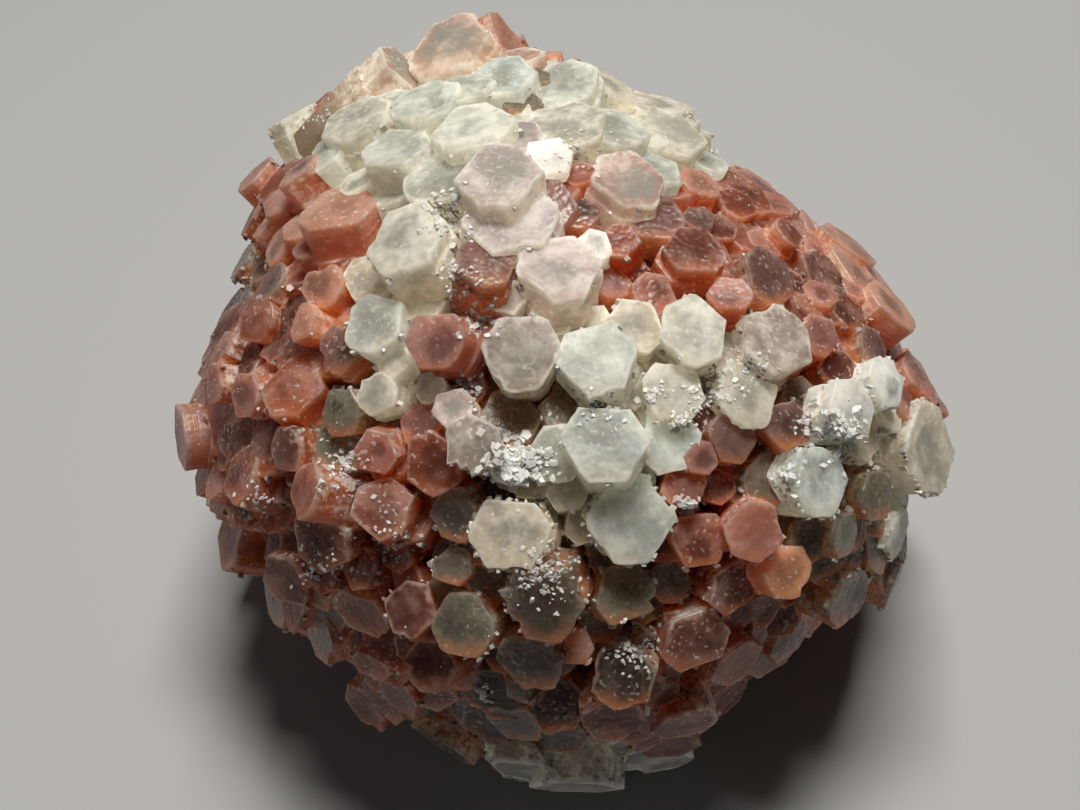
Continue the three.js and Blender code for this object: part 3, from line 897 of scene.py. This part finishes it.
# A grain is a stub with three to five sides, turned and stretched by chance
def addGrain(batch, tone, spot, chances):
    place, axis, size, hostTone, whiteness = spot
    radius = size / 2 * mm
    turn = axis.to_track_quat("Z", "Y").to_matrix()
    turn @= Matrix.Rotation(chances.uniform(0, 3), 3, "Z")
    turn @= Matrix.Rotation(chances.gauss(0, druse["lean"]), 3, "X")
    stretch = (1.2, chances.uniform(0.5, 1.1), chances.uniform(0.5, 1.2))
    put = (turn @ Matrix.Diagonal(stretch)).to_4x4()
    put.translation = place
    sides = chances.choice([3, 4, 4, 5])
    made = bmesh.ops.create_cone(
        batch, cap_ends=True, segments=sides, radius1=radius,
        radius2=radius * chances.uniform(0.6, 1), depth=radius * druse["long"], matrix=put,
    )
    share = whiteness * chances.uniform(0.6, 1.2)
    colour = [own + (white - own) * share for own, white in zip(hostTone, druse["white"])]
    for face in {face for corner in made["verts"] for face in corner.link_faces}:
        for loop in face.loops:
            loop[tone] = (*colour, 1)


def growDruse(cluster, rims, materials):
    chances = random.Random(druse["seed"])
    spots = druseSpots(cluster, rims, chances)
    whole = bmesh.new()
    for first in range(0, len(spots), druse["perBatch"]):
        batch = bmesh.new()
        tone = batch.loops.layers.float_color.new("tone")
        for spot in spots[first:first + druse["perBatch"]]:
            addGrain(batch, tone, spot, chances)
        crowd = bpy.data.meshes.new("batch")
        batch.to_mesh(crowd)
        batch.free()
        whole.from_mesh(crowd)
        bpy.data.meshes.remove(crowd)
    grains = addObject("druse_grains", whole, materials)
    print("druse grains:", len(spots))
    return grains


def druseMaterial():
    recipe = Recipe("aragonite_druse")
    place = recipe.node("ShaderNodeTexCoord", output="Object")
    tone = recipe.attribute("tone", "Color")
    mottle = recipe.noise(place, druse["frostScale"], 3, 0.6)
    frosting = recipe.ease(mottle, 0.4, 0.7) * druse["frostShare"]
    bumped = recipe.node("ShaderNodeBump", None, {
        "Strength": druse["bumpStrength"],
        "Distance": druse["bumpDepth"],
        "Height": mottle,
    })
    shader = recipe.node("ShaderNodeBsdfPrincipled", None, {
        "Base Color": recipe.mix(frosting, tone, druse["frost"]),
        "Roughness": mottle * 0.2 + druse["roughness"],
        "IOR": surfaceDetail["ior"],
        "Normal": bumped,
        "Subsurface Weight": druse["cloudy"],
        "Subsurface Radius": druse["scatter"],
        "Subsurface Scale": mm,
    })
    return recipe.finish(shader)


# Studio, in metres: a pale floor, a wide soft light above and behind, a weak one in front, a dim sky
# and the camera
studio = {
    "floorSize": 3.0,
    "floorColour": (0.42, 0.42, 0.42),
    "floorRoughness": 0.7,
    "sky": (0.90, 0.95, 1.0),
    "skyStrength": 0.024,
    "key": {
        "place": (0.02, 0.08, 0.56), "size": (0.20, 0.14), "watts": 3.5, "colour": (1.0, 0.97, 0.92),
    },
    "fill": {
        "place": (-0.40, -0.25, 0.35), "size": (0.3, 0.3), "watts": 0.08, "colour": (0.97, 0.98, 1.0),
    },
    "lensPerDistance": 1 / 3,  # millimetres of lens for a millimetre of eye distance
    "sensorWidth": 36.0,  # mm
    "frameShift": (-0.0185, 0.0046),
    "clipStart": 0.005,
}


def addFloor():
    mesh = bmesh.new()
    bmesh.ops.create_grid(mesh, x_segments=1, y_segments=1, size=studio["floorSize"] / 2)
    recipe = Recipe("pale_floor")
    shader = recipe.node("ShaderNodeBsdfPrincipled", None, {
        "Base Color": (*studio["floorColour"], 1),
        "Roughness": studio["floorRoughness"],
    })
    floor = addObject("floor", mesh, [recipe.finish(shader)])


def addLight(name, values):
    lamp = bpy.data.lights.new(name, "AREA")
    lamp.shape = "RECTANGLE"
    lamp.size, lamp.size_y = values["size"]
    lamp.energy = values["watts"]
    lamp.color = values["colour"]
    light = bpy.data.objects.new(name, lamp)
    light.location = values["place"]
    aim = Vector((0, 0, dome["restDepth"] * mm)) - light.location
    light.rotation_euler = aim.to_track_quat("-Z", "Y").to_euler()
    scene.collection.objects.link(light)


def addCamera():
    lens = bpy.data.cameras.new("camera")
    lens.sensor_width = studio["sensorWidth"]
    lens.lens = dome["eyeDistance"] * studio["lensPerDistance"]
    lens.shift_x, lens.shift_y = studio["frameShift"]
    lens.clip_start = studio["clipStart"]
    camera = bpy.data.objects.new("camera", lens)
    camera.location = toPart(Vector((0, 0, dome["eyeDistance"])))
    camera.rotation_euler = (math.pi / 2 - steepness, 0, 0)
    scene.collection.objects.link(camera)
    scene.camera = camera


def addSky():
    scene.world = bpy.data.worlds.new("soft_sky")
    scene.world.use_nodes = True
    sky = scene.world.node_tree.nodes["Background"]
    sky.inputs["Color"].default_value = (*studio["sky"], 1)
    sky.inputs["Strength"].default_value = studio["skyStrength"]


scene.view_settings.view_transform = "Standard"
addCamera()
addFloor()
addSky()
addLight("key_light", studio["key"])
addLight("fill_light", studio["fill"])
print("studio ready")

stoneMaterials = [stoneMaterial(finish) for finish in finishes]
cluster, rims = growCluster(stoneMaterials)
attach(cluster, "root")
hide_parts("crystal_cluster")
print("cluster triangles:", sum(len(face.vertices) - 2 for face in cluster.data.polygons))

grains = growDruse(cluster, rims, [druseMaterial()])
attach(grains, "root")
